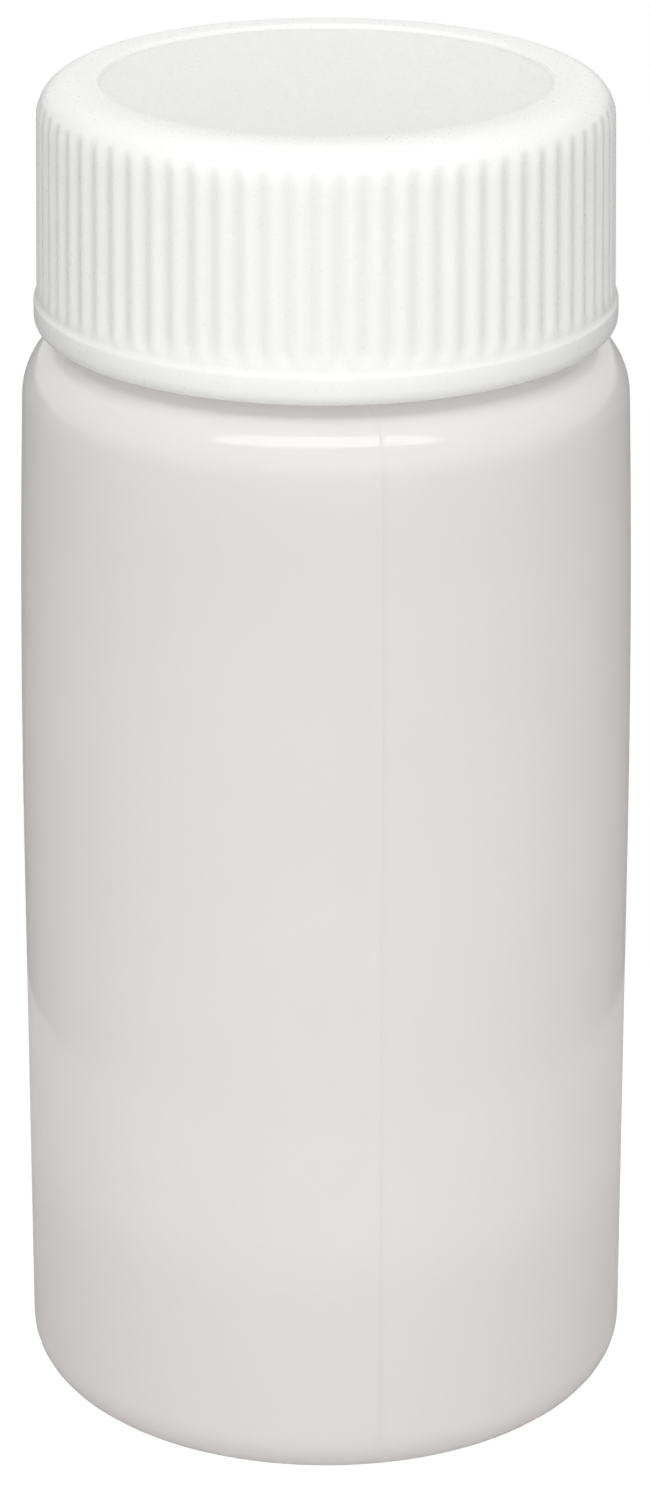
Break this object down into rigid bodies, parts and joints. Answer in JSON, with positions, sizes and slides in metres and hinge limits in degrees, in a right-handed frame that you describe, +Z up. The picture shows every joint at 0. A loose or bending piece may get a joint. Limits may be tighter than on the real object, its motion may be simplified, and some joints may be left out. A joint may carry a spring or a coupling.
{
  "type": "scintillation vial",
  "caption": "Milky translucent cylindrical plastic counting vial with a white ribbed screw cap, a threaded neck and a soft sealing disc under the cap.",
  "frame": {"origin": "centre of the foot ring, on the surface that the vial stands on", "axes": "+Z up along the vial's axis towards the cap, front at -Y"},
  "size_m": [0.0274, 0.0274, 0.061],
  "materials": {
    "vial_body": "natural milky translucent plastic, satin",
    "cap_white": "white opaque moulded plastic, semi-gloss, with a fine-grained matte top panel",
    "liner_foam": "soft white closed-cell foam, matte"
  },
  "bodies": {
    "vial": {"vial": "vial_body"},
    "liner": {"liner": "liner_foam"},
    "cap": {"cap": "cap_white"}
  },
  "joints": [
    {"name": "cap_rise", "type": "slide", "parent": "vial", "child": "liner", "axis": [0, 0, 1], "range_m": [0, 0.01112]},
    {"name": "cap_turn", "type": "hinge", "parent": "liner", "child": "cap", "pos_m": [0, 0, 0.055], "axis": [0, 0, 1], "range_deg": [0, 1260]}
  ],
  "couplings": [
    {"joint": "cap_rise", "follows": "cap_turn", "m_per_rad": 0.00050532}
  ]
}
